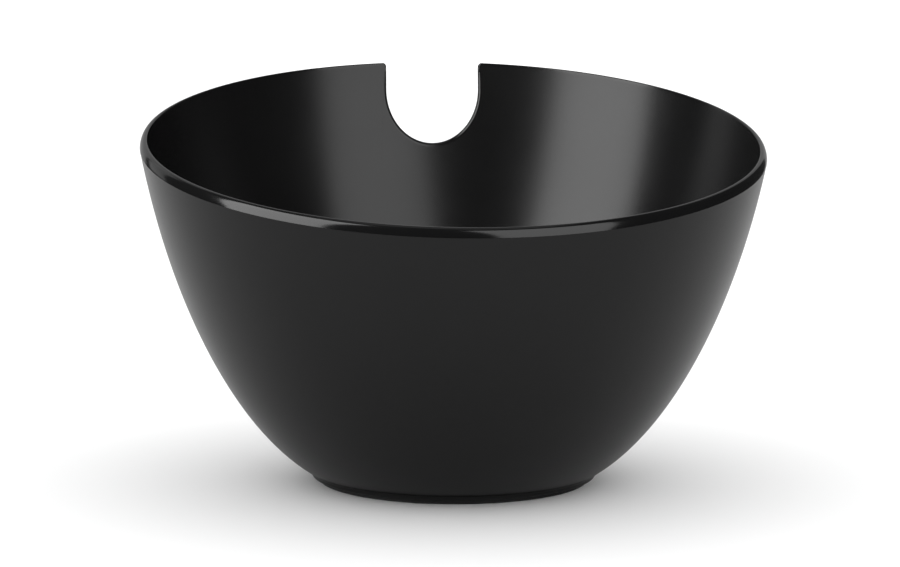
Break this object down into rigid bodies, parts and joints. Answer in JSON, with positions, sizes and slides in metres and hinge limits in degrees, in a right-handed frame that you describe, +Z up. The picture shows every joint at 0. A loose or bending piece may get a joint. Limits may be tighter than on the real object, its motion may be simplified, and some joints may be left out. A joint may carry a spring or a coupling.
{
  "type": "serving bowl",
  "caption": "Deep one-piece serving bowl with a slanted rim, a U-shaped rest slot in its high side and a non-slip ring under its foot.",
  "frame": {"origin": "centre of the foot ring, on the surface that the bowl stands on", "axes": "+Z up along the axis of the bowl's wall; +Y from that axis towards the high side of the rim and the rest slot; the mirror plane is X = 0"},
  "size_m": [0.247, 0.2436, 0.1622],
  "materials": {
    "bowl_satin": "satin black moulded melamine with a smoother, polished lip",
    "ring_rubber": "matt black elastomer"
  },
  "bodies": {
    "root": {"bowl": "bowl_satin", "foot_ring": "ring_rubber"}
  },
  "joints": []
}
